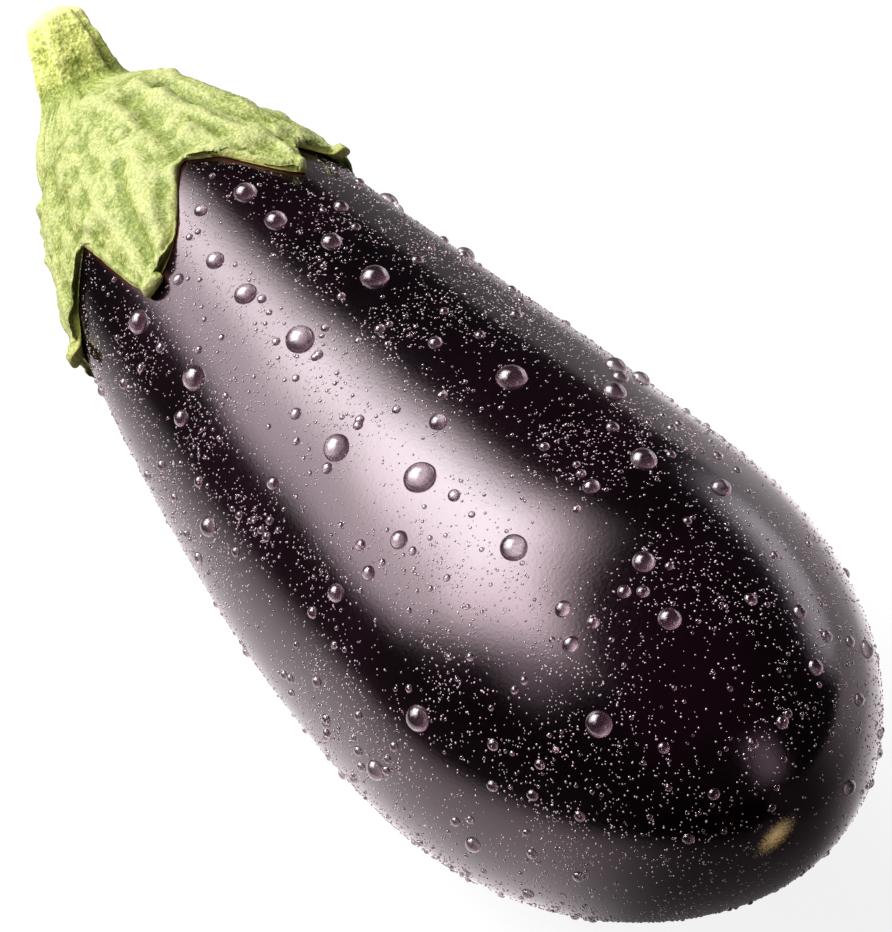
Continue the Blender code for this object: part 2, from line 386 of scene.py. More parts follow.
# %% Warts on the dome
WART_SEED = 11
WART_COUNT = 95
# Distance from the blossom tip (mm), angle, radius (mm), height (mm) of the ones that stand out
PLAIN_WARTS = (
    (184, 88, 2.3, 1.3), (206, 170, 1.9, 1.2), (199, 78, 1.8, 0.7), (184, 117, 2.0, 0.8),
    (190, 126, 1.7, 0.7), (186, 101, 1.5, 0.6), (196, 150, 1.6, 0.8), (190, 165, 1.5, 0.9),
    (187, 70, 1.5, 0.5), (204, 128, 1.7, 0.8), (208, 95, 1.5, 0.6), (178, 128, 1.6, 0.7),
    (200, 118, 1.2, 0.5), (193, 138, 1.4, 0.7), (183, 137, 1.3, 0.6), (177, 136, 1.2, 0.5),
)
# One wart is ringed: a boss, a groove round it and a low wall round that (mm)
RING_WART = (194.7, 108)
BOSS_RADIUS, BOSS_HEIGHT = 1.5, 0.8
GROOVE_AT, GROOVE_WIDTH, GROOVE_DEPTH = 2.1, 0.4, 0.45
WALL_AT, WALL_WIDTH, WALL_HEIGHT = 2.9, 0.6, 0.3
WART_REACH = 3.5 * MM
WART_STEEPNESS = 1.6


def wart_field():
    """Centres in the level layout, radii and heights."""
    random.seed(WART_SEED)
    warts = [(around(x * MM, fruit_radius(x * MM), a), r * MM, h * MM) for x, a, r, h in PLAIN_WARTS]
    for _ in range(WART_COUNT):
        x = random.uniform(166, 216) * MM
        angle = random.uniform(0, 360)
        size = random.uniform(0.6, 1.5) * MM
        warts.append((around(x, fruit_radius(x), angle), size, size * random.uniform(0.25, 0.5)))
    return warts


WARTS = wart_field()
WART_TREE = point_tree([centre for centre, _, _ in WARTS])
RING_CENTRE = around(RING_WART[0] * MM, fruit_radius(RING_WART[0] * MM), RING_WART[1])
print(len(WARTS), "warts")


def wart_height(place):
    """How high the warts stand at a point of the level layout."""
    height = 0.0
    for centre, number, apart in WART_TREE.find_range(place, WART_REACH):
        _, size, tall = WARTS[number]
        height += tall * math.exp(-((apart / size) ** 2) * WART_STEEPNESS)
    apart = (place - RING_CENTRE).length / MM
    height += BOSS_HEIGHT * MM * math.exp(-((apart / BOSS_RADIUS) ** 4))
    height -= GROOVE_DEPTH * MM * math.exp(-(((apart - GROOVE_AT) / GROOVE_WIDTH) ** 2))
    height += WALL_HEIGHT * MM * math.exp(-(((apart - WALL_AT) / WALL_WIDTH) ** 2))
    return height


# %% Ribs and hide
HIDE = 0.75 * MM
HIDE_SPACING = 5.5 * MM
PUCKER = 0.3 * MM
PUCKER_SPACING = 1.9 * MM
RIB_WIDTH = 1.5 * MM
SIDE_RIB_AT = (-0.62, -0.34, 0.34, 0.62)
SIDE_RIB = 0.3 * MM
SIDE_RIB_WIDTH = 0.9 * MM
SIDE_RIB_FADE = 6 * MM  # lobes narrower than this lose their side ribs

# Folds: the points they run through (distance from the blossom tip in mm, angle), half width and height
FOLDS = (
    (((188, 116), (180, 120), (172, 122), (162, 125)), 1.2, -1.2),
    (((186, 109), (177, 113), (167, 118), (160, 123)), 1.7, 0.9),
    (((207, 85), (195, 82), (184, 77), (174, 71)), 1.6, 1.3),
    (((203, 75), (193, 70), (184, 66), (173, 63)), 1.7, -1.7),
    (((208, 66), (198, 61), (188, 57), (174, 52)), 2.0, 1.3),
    (((204, 93), (195, 94), (188, 95), (181, 96)), 2.2, -1.0),
    (((208, 150), (198, 149), (191, 148), (186, 148)), 2.0, -0.9),
    (((205, 165), (193, 166), (183, 170), (175, 175)), 1.6, 0.8),
    (((212, 110), (205, 104), (198, 100)), 1.5, 0.8),
)
FOLD_STEPS = 12


def fold_paths():
    paths = []
    for corners, wide, tall in FOLDS:
        points = []
        for (x1, a1), (x2, a2) in zip(corners, corners[1:]):
            for step in range(FOLD_STEPS + 1):
                t = step / FOLD_STEPS
                x = (x1 + (x2 - x1) * t) * MM
                points.append(around(x, fruit_radius(x), a1 + (a2 - a1) * t))
        paths.append((point_tree(points), wide * MM, tall * MM))
    return paths


FOLD_PATHS = fold_paths()


def fold_height(place):
    return sum(
        tall * math.exp(-((tree.find(place)[2] / wide) ** 2)) for tree, wide, tall in FOLD_PATHS
    )


def hide_height(place, seed):
    shift = Vector((seed, 0, 0))
    coarse = noise.noise(place / HIDE_SPACING + shift) * HIDE
    return coarse + noise.fractal(place / PUCKER_SPACING + shift, 0.9, 2.1, 3) * PUCKER


def rib_height(lobe, s, half_width, share):
    """Ribs at a share of the way from stem to tip, at s from -1 to 1 across a lobe this wide."""
    rise = 0.25 + 0.75 * min(1.0, share * 1.4)
    height = lobe.rib * rise * math.exp(-((s * half_width / RIB_WIDTH) ** 2))
    fade = min(1.0, half_width / SIDE_RIB_FADE)
    for at in SIDE_RIB_AT:
        off = (s - at) * half_width / SIDE_RIB_WIDTH
        height += SIDE_RIB * fade * rise * math.exp(-(off**2))
    return height


# %% [markdown]
# ### Laying the panels
# A row of a panel is either on the stem, on the flare, on the dome, on the free lobe, or underneath.
# On the dome the panel spans the whole way between two notches. On the free lobe it narrows to a finger,
# and its last rows bend into the round of the fingertip. Inner and outer faces meet at the free edge, so
# the wall's height is brought down to nothing there along a quarter circle, which makes the thick rim.

# %% Rows and columns of a panel
PANEL_COLUMNS = 54
STEM_ROWS = 52
FLARE_ROWS = 22
DOME_ROWS = 66
LOBE_ROWS = 46
INNER_ROWS = 12
OUTER_ROWS = STEM_ROWS + FLARE_ROWS + DOME_ROWS + LOBE_ROWS
ALL_ROWS = OUTER_ROWS + LOBE_ROWS + INNER_ROWS

WALL = 1.6 * MM
THIN = 0.85 * MM  # how thick it is by its free edge
THIN_WIDTH = 5 * MM
COLLAR = 2.2 * MM  # how much thicker it is at the stem
COLLAR_FROM = 12.5 * MM
COLLAR_WIDTH = 30 * MM
FLARE_FROM = 20.5 * MM  # where the dome ends and the flare of the stem begins, down the skin
FLARE_TOP = 11 * MM  # where the flare ends, along the stem
UNDER_GAP = 0.25 * MM
NOTCH_ROUND = 0.5  # below 1 the notches are rounded
NOTCH_SAG = 5 * MM  # how far the line between two notches dips towards the tip
EDGE_CROWDING = 0.38  # how much closer the columns lie at a panel's edges
print(f"{len(LOBES)} panels of {PANEL_COLUMNS} x {ALL_ROWS} quads")


def across(u):
    """From 0..1 over the columns to -1..1 over the panel, closer together at its edges."""
    w = 2 * u - 1
    return (1 - EDGE_CROWDING) * w + EDGE_CROWDING * math.sin(math.pi / 2 * w)


def dome_edge(index, s):
    """Distance down the skin of the row that ends at the two notches."""
    before, after = run_at(NOTCHES[index - 1][1] * MM), run_at(NOTCHES[index][1] * MM)
    return before + (after - before) * (s + 1) / 2 + NOTCH_SAG * (1 - s * s)


def degrees_apart(first, second):
    return abs((first - second + 180) % 360 - 180)


def side_angle(index, s):
    """How many degrees the notch on this side lies from the lobe's middle."""
    notch = NOTCHES[index][0] if s > 0 else NOTCHES[index - 1][0]
    return degrees_apart(notch, LOBES[index].angle)


def lobe_place(index, s, share):
    """Distance down the skin and angle of a point of the free lobe."""
    lobe = LOBES[index]
    start = dome_edge(index, s)
    end = lobe.reach - lobe.finger * (1 - math.sqrt(max(0.0, 1 - s * s)))
    run = start + (end - start) * share
    wide = (1 - min(1.0, share / lobe.slim) ** NOTCH_ROUND) ** lobe.hollow[s > 0]
    finger = math.degrees(lobe.finger / fruit_radius(x_at(run)))
    return run, lobe.angle + s * (side_angle(index, s) * wide + finger * (1 - wide))


def level_point(flat, angle):
    return around(float(flat[0]), float(flat[1]), angle)


def outward_vector(out, angle):
    spoke = math.radians(angle)
    return Vector((-float(out[0]), float(out[1]) * math.cos(spoke), float(out[1]) * math.sin(spoke)))


def base_spot(index, s, row):
    """Inner-face point, outward direction, angle and run, on the dome or the free lobe."""
    lobe = LOBES[index]
    if row <= DOME_ROWS:
        share = row / DOME_ROWS
        run = FLARE_FROM + (dome_edge(index, s) - FLARE_FROM) * share
        angle = lobe.angle + s * side_angle(index, s)
    else:
        run, angle = lobe_place(index, s, (row - DOME_ROWS) / LOBE_ROWS)
    flat, out = lift_off(lobe, run)
    flat = flat + out * UNDER_GAP
    return level_point(flat, angle), outward_vector(out, angle), angle, run


# %% Distances to the free edge
def free_edge():
    """Points along the notches and round the lobes."""
    points = []
    for index in range(len(LOBES)):
        for row in range(DOME_ROWS, DOME_ROWS + LOBE_ROWS + 1):
            points += [base_spot(index, s, row)[0] for s in (-1, 1)]
        for column in range(PANEL_COLUMNS + 1):
            points.append(base_spot(index, across(column / PANEL_COLUMNS), DOME_ROWS + LOBE_ROWS)[0])
    return points


EDGE_POINTS = free_edge()
EDGE_TREE = point_tree(EDGE_POINTS)
print(len(EDGE_POINTS), "points along the free edge")


# %% Points of the outer face
RIM_ROUND = 0.8 * MM
RIM_ROLL = 0.3 * MM
RIM_ROLL_WIDTH = 0.7 * MM
CUT_ROUND_ROWS = 12
CUT_DOME = 3.4 * MM
CUT_DENT = 0.35 * MM
CUT_DENT_SPACING = 2.2 * MM
STEM_RIDGE = 0.8 * MM
STEM_RIDGE_SHARPNESS = 2.4
STEM_GROOVE = 0.45 * MM
STEM_RIDGE_FADE = 9 * MM  # the ridges sink away over this length before the cut
STEM_HIDE_SHARE = 0.8
DOME_HIDE_SHIFT = 3  # shifts of the noise, so that dome and stem don't repeat each other
STEM_HIDE_SHIFT = 7
FLARE_LEAVE = 0.8
FLARE_ARRIVE = 1.25


def eased(share):
    share = min(1.0, max(0.0, share))
    return share * share * (3 - 2 * share)


def dome_point(index, s, row):
    """The outer face on the dome or the free lobe."""
    base, out, angle, run = base_spot(index, s, row)
    lobe = LOBES[index]
    collar = max(0.0, 1 - (run - COLLAR_FROM) / COLLAR_WIDTH)
    edge = EDGE_TREE.find(base)[2]
    height = THIN + (WALL - THIN) * eased(edge / THIN_WIDTH) + COLLAR * min(1.0, collar) ** 0.8
    share = (run - FLARE_FROM) / (lobe.reach - FLARE_FROM)
    offset = degrees_apart(angle, lobe.angle)
    radius = fruit_radius(x_at(run))
    half_width = max(math.radians(offset) * radius / max(abs(s), 0.05), lobe.finger)
    height += rib_height(lobe, s, half_width, share)
    height += wart_height(base) + hide_height(base, DOME_HIDE_SHIFT) + fold_height(base)
    rim = min(1.0, edge / RIM_ROUND)
    height += RIM_ROLL * math.exp(-(((edge - RIM_ROUND) / RIM_ROLL_WIDTH) ** 2))
    return base + out * height * math.sqrt(1 - (1 - rim) ** 2), out


def stem_point(index, s, along):
    """The stem's side at a distance from the crown, with its ridges."""
    lobe = LOBES[index]
    angle = lobe.angle + s * side_angle(index, s)
    centre, ahead, level, upright = stem_frame(along)
    spoke = math.radians(angle)
    out = level * math.cos(spoke) + upright * math.sin(spoke)
    flare = max(0.0, 1 - along / STEM_FLARE_LENGTH) ** 2
    share = along / STEM_LENGTH
    radius = STEM_RADIUS + (STEM_CUT_RADIUS - STEM_RADIUS) * share
    radius += (STEM_BASE_RADIUS - STEM_RADIUS) * flare
    ridge = STEM_RIDGE * math.exp(-((s * STEM_RIDGE_SHARPNESS) ** 2)) - STEM_GROOVE * s * s
    ridge *= eased((STEM_LENGTH - along) / STEM_RIDGE_FADE)
    lumps = hide_height(centre + out * radius, STEM_HIDE_SHIFT) * STEM_HIDE_SHARE
    return centre + out * (radius + ridge + lumps), ahead, centre


def flare_point(index, s, t):
    """A smooth sweep from the stem's side down on to the dome, t from 0 to 1."""
    top, ahead, _ = stem_point(index, s, FLARE_TOP)
    foot, _ = dome_point(index, s, 0)
    further, _ = dome_point(index, s, 1)
    reach = (foot - top).length
    leave = -ahead * reach * FLARE_LEAVE
    arrive = (further - foot).normalized() * reach * FLARE_ARRIVE
    return (
        top * (2 * t**3 - 3 * t**2 + 1) + leave * (t**3 - 2 * t**2 + t)
        + foot * (3 * t**2 - 2 * t**3) + arrive * (t**3 - t**2)
    )


def cut_end_point(index, s, row):
    """The rounded end: rows run from its middle out to the stem's side."""
    side, ahead, centre = stem_point(index, s, STEM_LENGTH - CUT_DOME)
    sweep = math.pi / 2 * row / CUT_ROUND_ROWS
    point = centre + (side - centre) * math.sin(sweep) + ahead * CUT_DOME * math.cos(sweep)
    dent = noise.noise(point / CUT_DENT_SPACING) * CUT_DENT * math.cos(sweep) ** 0.5 if row else 0.0
    return point + ahead * dent


# %% Lay every point of the six panels
def panel_point(index, u, row):
    s = across(u)
    if row <= CUT_ROUND_ROWS:
        return cut_end_point(index, s, row)
    if row <= STEM_ROWS:
        share = (row - CUT_ROUND_ROWS) / (STEM_ROWS - CUT_ROUND_ROWS)
        return stem_point(index, s, (STEM_LENGTH - CUT_DOME) * (1 - share) + FLARE_TOP * share)[0]
    if row <= STEM_ROWS + FLARE_ROWS:
        return flare_point(index, s, (row - STEM_ROWS) / FLARE_ROWS)
    if row <= OUTER_ROWS:
        return dome_point(index, s, row - STEM_ROWS - FLARE_ROWS)[0]
    back = row - OUTER_ROWS
    if back <= LOBE_ROWS:
        return base_spot(index, s, DOME_ROWS + LOBE_ROWS - back)[0]
    share = 1 - (back - LOBE_ROWS) / INNER_ROWS
    here, _, out = skin_frame(dome_edge(index, s) * share)
    return level_point(here + out * UNDER_GAP, LOBES[index].angle + s * side_angle(index, s))


CALYX_WELD = 2e-6
CALYX_SLIVER = 1e-6
CALYX_CLEARANCE = 0.1 * MM


def grow_calyx():
    bm = bmesh.new()
    for index in range(len(LOBES)):
        made = bmesh.ops.create_grid(bm, x_segments=PANEL_COLUMNS, y_segments=ALL_ROWS, size=0.5)
        for vert in made["verts"]:
            u, row = vert.co.x + 0.5, round((vert.co.y + 0.5) * ALL_ROWS)
            vert.co = panel_point(index, u, row)
    bmesh.ops.remove_doubles(bm, verts=bm.verts, dist=CALYX_WELD)
    bmesh.ops.dissolve_degenerate(bm, edges=bm.edges, dist=CALYX_SLIVER)
    bmesh.ops.transform(bm, matrix=POSE, verts=bm.verts)
    bmesh.ops.recalc_face_normals(bm, faces=bm.faces)
    for vert in bm.verts:
        vert.co.z = max(CALYX_CLEARANCE, vert.co.z)
    return bm


calyx_bm = grow_calyx()
calyx_tree = BVHTree.FromBMesh(calyx_bm)
print("open edges left:", sum(not edge.is_manifold for edge in calyx_bm.edges))


# %% [markdown]
# ## Finishes
# Skin, calyx and stem all show a fine grain, so the grain is a node group of its own that each material
# places with its own spacing and depth. It gives a height for a Bump node and a mask that colours can
# follow. It reads Object coordinates, so it stays with the mesh wherever the object goes.

# %% Small helpers for node trees
def add_node(tree, kind, **values):
    made = tree.nodes.new(kind)
    for name, value in values.items():
        setattr(made, name, value)
    return made


def set_inputs(node, **values):
    for name, value in values.items():
        node.inputs[name.replace("_", " ")].default_value = value
    return node


def math_node(tree, operation, first, second):
    made = add_node(tree, "ShaderNodeMath", operation=operation)
    for socket, value in zip(made.inputs, (first, second)):
        if isinstance(value, (int, float)):
            socket.default_value = value
        else:
            tree.links.new(value, socket)
    return made.outputs[0]


def vector_math(tree, operation, first, second=None):
    made = add_node(tree, "ShaderNodeVectorMath", operation=operation)
    for socket, value in zip(made.inputs, (first, second)):
        if isinstance(value, bpy.types.NodeSocket):
            tree.links.new(value, socket)
        elif value is not None:
            socket.default_value = value
    return made.outputs["Value" if operation in ("LENGTH", "DOT_PRODUCT") else "Vector"]


def mix_shaders(tree, factor, first, second):
    made = add_node(tree, "ShaderNodeMixShader")
    for socket, value in zip(made.inputs, (factor, first, second)):
        if isinstance(value, (int, float)):
            socket.default_value = value
        else:
            tree.links.new(value, socket)
    return made.outputs[0]


def mix_colour(tree, factor, first, second, blend="MIX"):
    made = add_node(tree, "ShaderNodeMix", data_type="RGBA", blend_type=blend)
    for socket, value in ((made.inputs[0], factor), (made.inputs[6], first), (made.inputs[7], second)):
        if isinstance(value, bpy.types.NodeSocket):
            tree.links.new(value, socket)
        elif isinstance(value, (int, float)):
            socket.default_value = value
        else:
            socket.default_value = (*value, 1)
    return made.outputs[2]


def smooth_range(tree, value, low, high, to_low=0.0, to_high=1.0):
    made = add_node(tree, "ShaderNodeMapRange", interpolation_type="SMOOTHSTEP")
    tree.links.new(value, made.inputs["Value"])
    set_inputs(made, From_Min=low, From_Max=high, To_Min=to_low, To_Max=to_high)
    return made.outputs[0]


def noise_texture(tree, vector, spacing, detail=3.0, roughness=0.55):
    made = add_node(tree, "ShaderNodeTexNoise")
    tree.links.new(vector, made.inputs["Vector"])
    set_inputs(made, Scale=1 / spacing, Detail=detail, Roughness=roughness)
    return made.outputs[0]


def attribute(tree, name):
    return add_node(tree, "ShaderNodeAttribute", attribute_name=name).outputs["Fac"]


def bump_shader(tree, shader, height, strength, distance):
    bump = set_inputs(add_node(tree, "ShaderNodeBump"), Strength=strength, Distance=distance)
    tree.links.new(height, bump.inputs["Height"])
    tree.links.new(bump.outputs[0], shader.inputs["Normal"])


# %% The grain group
def make_grain():
    group = bpy.data.node_groups.new("fine_grain", "ShaderNodeTree")
    for name, kind, way in (
        ("Vector", "NodeSocketVector", "INPUT"), ("Spacing", "NodeSocketFloat", "INPUT"),
        ("Height", "NodeSocketFloat", "OUTPUT"), ("Mask", "NodeSocketFloat", "OUTPUT"),
    ):
        group.interface.new_socket(name=name, in_out=way, socket_type=kind)
    ins, outs = add_node(group, "NodeGroupInput"), add_node(group, "NodeGroupOutput")
    scale = math_node(group, "DIVIDE", 1.0, ins.outputs["Spacing"])
    soft = add_node(group, "ShaderNodeTexNoise")
    set_inputs(soft, Detail=4.0, Roughness=0.6, Distortion=0.4)
    cells = add_node(group, "ShaderNodeTexVoronoi", feature="SMOOTH_F1")
    for texture in (soft, cells):
        group.links.new(ins.outputs["Vector"], texture.inputs["Vector"])
        group.links.new(scale, texture.inputs["Scale"])
    height = math_node(group, "ADD", soft.outputs[0], cells.outputs["Distance"])
    group.links.new(math_node(group, "MULTIPLY", height, 0.6), outs.inputs["Height"])
    group.links.new(smooth_range(group, soft.outputs[0], 0.4, 0.62), outs.inputs["Mask"])
    return group


GRAIN = make_grain()


def place_grain(tree, vector, spacing):
    made = add_node(tree, "ShaderNodeGroup", node_tree=GRAIN)
    tree.links.new(vector, made.inputs["Vector"])
    made.inputs["Spacing"].default_value = spacing
    return made.outputs["Height"], made.outputs["Mask"]


print("grain group sockets:", [item.name for item in GRAIN.interface.items_tree])


# %% [markdown]
# ### The skin
# Aubergine skin is nearly black, with a waxy gloss that is softer than glass. What one sees is mostly
# reflection with a mauve cast, so the base stays dark, the reflection carries the tint and the roughness
# wanders a little. The blossom scar is dry, tan and rough. Along the rim of the calyx a reddish-brown band
# is painted into the colour as painted shade under the rim; how near each point lies to that rim is kept as
# an attribute.

# %% Skin material
SKIN_DARK = (0.0010, 0.0003, 0.0006)
SKIN_PURPLE = (0.0036, 0.0008, 0.0020)
PAINTED_RIM_SHADE = (0.055, 0.014, 0.011)
SKIN_SHEEN_TINT = (1.0, 0.80, 0.88)
SCAR_TAN = (1.0, 0.70, 0.30)
SCAR_TILT = math.radians(45)
SCAR_SQUEEZE = (1 / (9 * MM), 1 / (5.0 * MM), 1 / (2.7 * MM))


def make_skin():
    made = empty_material("aubergine_skin")
    tree = made.node_tree
    shader = tree.nodes["Principled BSDF"]
    shader.inputs["IOR"].default_value = 1.6
    place = add_node(tree, "ShaderNodeTexCoord").outputs["Object"]
    patches = smooth_range(tree, noise_texture(tree, place, 30 * MM), 0.35, 0.7)
    colour = mix_colour(tree, patches, SKIN_DARK, SKIN_PURPLE)
    rim = attribute(tree, "near_rim")
    # Painted shade: a reddish-brown band where the calyx's rim shades the skin
    colour = mix_colour(tree, rim, colour, PAINTED_RIM_SHADE)

    turned = add_node(tree, "ShaderNodeMapping")
    tree.links.new(vector_math(tree, "SUBTRACT", place, scar), turned.inputs["Vector"])
    turned.inputs["Rotation"].default_value = (-SCAR_TILT, 0, 0)
    far = vector_math(tree, "LENGTH", vector_math(tree, "MULTIPLY", turned.outputs[0], SCAR_SQUEEZE))
    fuzz = noise_texture(tree, place, 0.35 * MM, 4.0, 0.8)
    ragged = math_node(tree, "ADD", far, math_node(tree, "MULTIPLY", fuzz, 1.6))
    scar_mask = smooth_range(tree, ragged, 0.65, 1.75, 1.0, 0.0)
    colour = mix_colour(tree, scar_mask, colour, SCAR_TAN)
    tree.links.new(colour, shader.inputs["Base Color"])

    height, mask = place_grain(tree, place, 0.55 * MM)
    rough = math_node(tree, "MULTIPLY_ADD", mask, 0.05)
    rough.node.inputs[2].default_value = 0.115
    rough = math_node(tree, "ADD", rough, math_node(tree, "MULTIPLY", scar_mask, 0.45))
    tree.links.new(rough, shader.inputs["Roughness"])
    bump_shader(tree, shader, height, 0.34, 0.04 * MM)
    shader.inputs["Specular Tint"].default_value = (*SKIN_SHEEN_TINT, 1)
    return made


skin_finish = make_skin()
RIM_SHADE = 1.1 * MM


def mark_near_rim(bm):
    """Stores how close each skin point is to the calyx's edge, from 0 to 1."""
    layer = bm.verts.layers.float.new("near_rim")
    for vert in bm.verts:
        if vert.co.x < -20 * MM:
            apart = EDGE_TREE.find(POSE.inverted() @ vert.co)[2]
            vert[layer] = max(0.0, 1 - apart / RIM_SHADE)


mark_near_rim(fruit_bm)
fruit = smooth_object("aubergine_fruit", fruit_bm, skin_finish)
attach(fruit, "root")
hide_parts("fruit")


# %% [markdown]
# ### The calyx and stem
# Yellow-green flesh with a painted highlight on everything that stands up and painted shade in the hollows.
# Pointiness would find the hollows only in a render, so the height is measured on the mesh instead and kept
# as an attribute: painted pale on ribs, warts and rims, painted dark between them.

# %% Green material
GREEN_PALE = (0.325, 0.341, 0.144)
GREEN_MID = (0.215, 0.248, 0.070)
GREEN_DARK = (0.118, 0.152, 0.030)
RIM_YELLOW = (0.26, 0.24, 0.05)
STEM_PAINTED_LIGHT = (2.35, 2.25, 2.0)
CUT_YELLOW = (0.62, 0.60, 0.24)
CUT_BROWN = (0.16, 0.09, 0.03)


def make_green():
    made = empty_material("calyx_green")
    tree = made.node_tree
    shader = tree.nodes["Principled BSDF"]
    shader.inputs["Specular IOR Level"].default_value = 0.16
    place = add_node(tree, "ShaderNodeTexCoord").outputs["Object"]
    raised = attribute(tree, "raised")
    edge = attribute(tree, "edge")
    height, mask = place_grain(tree, place, 0.62 * MM)
    blotch = noise_texture(tree, place, 6 * MM)
    # Painted light and shade: the raised height paints ribs, warts and rims pale and the hollows dark; the
    # blotches and grain are the flesh's own uneven tone
    light = math_node(tree, "MULTIPLY", raised, 0.85)
    light = math_node(tree, "ADD", light, math_node(tree, "MULTIPLY", blotch, 0.4))
    light = math_node(tree, "ADD", light, math_node(tree, "MULTIPLY", mask, 0.7))
    colour = mix_colour(tree, smooth_range(tree, light, 0.4, 0.95), GREEN_DARK, GREEN_MID)
    colour = mix_colour(tree, smooth_range(tree, light, 0.9, 1.5), colour, GREEN_PALE)
    colour = mix_colour(tree, math_node(tree, "MULTIPLY", edge, 0.7), colour, RIM_YELLOW)
    # Painted light: the stem's colour is brightened where the lamps leave it darker than the dome
    stem = attribute(tree, "stem")
    colour = mix_colour(tree, math_node(tree, "MULTIPLY", stem, 0.85), colour, STEM_PAINTED_LIGHT, "MULTIPLY")
    cut = attribute(tree, "cut")
    colour = mix_colour(tree, math_node(tree, "MULTIPLY", cut, 0.8), colour, CUT_YELLOW)
    heart = math_node(tree, "ADD", cut, math_node(tree, "MULTIPLY", blotch, 0.5))
    colour = mix_colour(tree, smooth_range(tree, heart, 1.2, 1.32), colour, CUT_BROWN)
    tree.links.new(colour, shader.inputs["Base Color"])
    rough = smooth_range(tree, mask, 0.0, 1.0, 0.42, 0.6)
    tree.links.new(rough, shader.inputs["Roughness"])
    bump_shader(tree, shader, height, 0.9, 0.3 * MM)
    return made


green_finish = make_green()
SMOOTHING_ROUNDS = 34
SMOOTHING_FACTOR = 0.7
RAISED_SCALE = 0.55 * MM
EDGE_BAND = 1.6 * MM


def mark_raised(bm):
    """Stores how far each point stands above its smoothed surroundings, how near it is to the free edge,
    and how far it belongs to the stem and to the cut."""
    raised = bm.verts.layers.float.new("raised")
    edge = bm.verts.layers.float.new("edge")
    cut = bm.verts.layers.float.new("cut")
    stem = bm.verts.layers.float.new("stem")
    cut_end = POSE @ STEM_LINE[-1][0]
    start = {vert: vert.co.copy() for vert in bm.verts}
    for _ in range(SMOOTHING_ROUNDS):
        bmesh.ops.smooth_vert(
            bm, verts=bm.verts, factor=SMOOTHING_FACTOR, use_axis_x=True, use_axis_y=True, use_axis_z=True
        )
    bm.normal_update()
    inverse = POSE.inverted()
    for vert in bm.verts:
        above = (start[vert] - vert.co).dot(vert.normal)
        vert[raised] = min(1.0, max(0.0, 0.5 + above / RAISED_SCALE))
        vert.co = start[vert]
        apart = EDGE_TREE.find(inverse @ vert.co)[2]
        vert[edge] = max(0.0, 1 - apart / EDGE_BAND)
        vert[stem] = eased(1.9 - (vert.co - cut_end).length / (12 * MM))
        vert[cut] = eased(1.35 - (vert.co - cut_end).length / (6.5 * MM))
    bm.normal_update()


mark_raised(calyx_bm)
calyx = smooth_object("calyx_with_stem", calyx_bm, green_finish)
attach(calyx, "root")
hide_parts("calyx", "stem")


# %% [markdown]
# ## Water
# Water on wax stands up in beads: nearly half balls when small, a little flatter when large. A bead here
# is a ball pushed through the skin, so its lower part is out of sight, no seam shows, and light that
# enters it meets the skin inside, as it does in a real drop. The largest stand at set places, the rest
# are strewn by a seeded draw that is denser in some places than in others.

# %% Water material
WATER_MAUVE = (0.62, 0.36, 0.46)
WATER_GLOW = 0.16  # share of the light that the bead spreads, as it gathers it on its far side


def make_water():
    made = empty_material("water")
    tree = made.node_tree
    shader = tree.nodes["Principled BSDF"]
    set_inputs(shader, Roughness=0.0, IOR=1.333, Transmission_Weight=1.0)
    shader.inputs["Base Color"].default_value = (1.0, 0.97, 0.985, 1)
    set_inputs(shader, Coat_Weight=1.0, Coat_Roughness=0.04, Coat_IOR=1.7)
    glow = set_inputs(add_node(tree, "ShaderNodeBsdfTranslucent"), Color=(*WATER_MAUVE, 1))
    body = mix_shaders(tree, WATER_GLOW, shader.outputs[0], glow.outputs[0])
    clear = add_node(tree, "ShaderNodeBsdfTransparent")
    path = add_node(tree, "ShaderNodeLightPath")
    both = mix_shaders(tree, path.outputs["Is Shadow Ray"], body, clear.outputs[0])
    tree.links.new(both, tree.nodes["Material Output"].inputs["Surface"])
    return made


water_finish = make_water()
print("water finish:", len(water_finish.node_tree.nodes), "nodes")


# %% [markdown]
# ### Mist
# The finest beads are far smaller than the reach of the light inside them: what one sees of each is a
# dark dot with a glint. They get a cheaper finish of their own, dark and very glossy, without any light
# passing through, so that thousands of them stay clean and quick.

# %% Mist material
MIST_DARK = (0.045, 0.022, 0.032)
MIST_LIGHT = (0.30, 0.18, 0.23)


def make_mist():
    made = empty_material("fine_water")
    tree = made.node_tree
    shader = tree.nodes["Principled BSDF"]
    set_inputs(shader, IOR=1.333, Coat_Weight=1.0, Coat_Roughness=0.08, Coat_IOR=2.3)
    place = add_node(tree, "ShaderNodeTexCoord").outputs["Object"]
    each = noise_texture(tree, place, 0.8 * MM)
    colour = mix_colour(tree, smooth_range(tree, each, 0.4, 0.65), MIST_DARK, MIST_LIGHT)
    tree.links.new(colour, shader.inputs["Base Color"])
    rough = smooth_range(tree, each, 0.2, 0.8, 0.1, 0.3)
    tree.links.new(rough, shader.inputs["Roughness"])
    return made


mist_finish = make_mist()
print("mist finish:", len(mist_finish.node_tree.nodes), "nodes")


# %% Place beads on the skin
def skin_spot(x, angle):
    """The point and outward direction on the finished skin, near x from the tip at an angle."""
    wanted = POSE @ around(x, fruit_radius(x), angle)
    place, normal, _, _ = skin_tree.find_nearest(wanted)
    return place, normal


BEAD_LOWEST = 1.5 * MM
CALYX_MARGIN = 0.9 * MM


def is_free(place, margin):
    """Whether a bead may sit here: not under the calyx, and not where the fruit rests."""
    if place.z < BEAD_LOWEST:
        return False
    return calyx_tree.find_nearest(place)[3] > margin


def bead_shape(detail):
    """The corners and the mesh of one ball of radius 1."""
    bm = bmesh.new()
    bmesh.ops.create_icosphere(bm, subdivisions=detail, radius=1)
    mesh = bpy.data.meshes.new("bead")
    bm.to_mesh(mesh)
    bm.free()
    corners = np.empty(len(mesh.vertices) * 3, np.float32)
    mesh.vertices.foreach_get("co", corners)
    return mesh, corners.reshape(-1, 3).astype(float)


BEAD_SINK = 0.12  # share of its height by which a bead's middle lies under the skin
BEAD_OVAL = 0.04
OVAL_PACE = 7


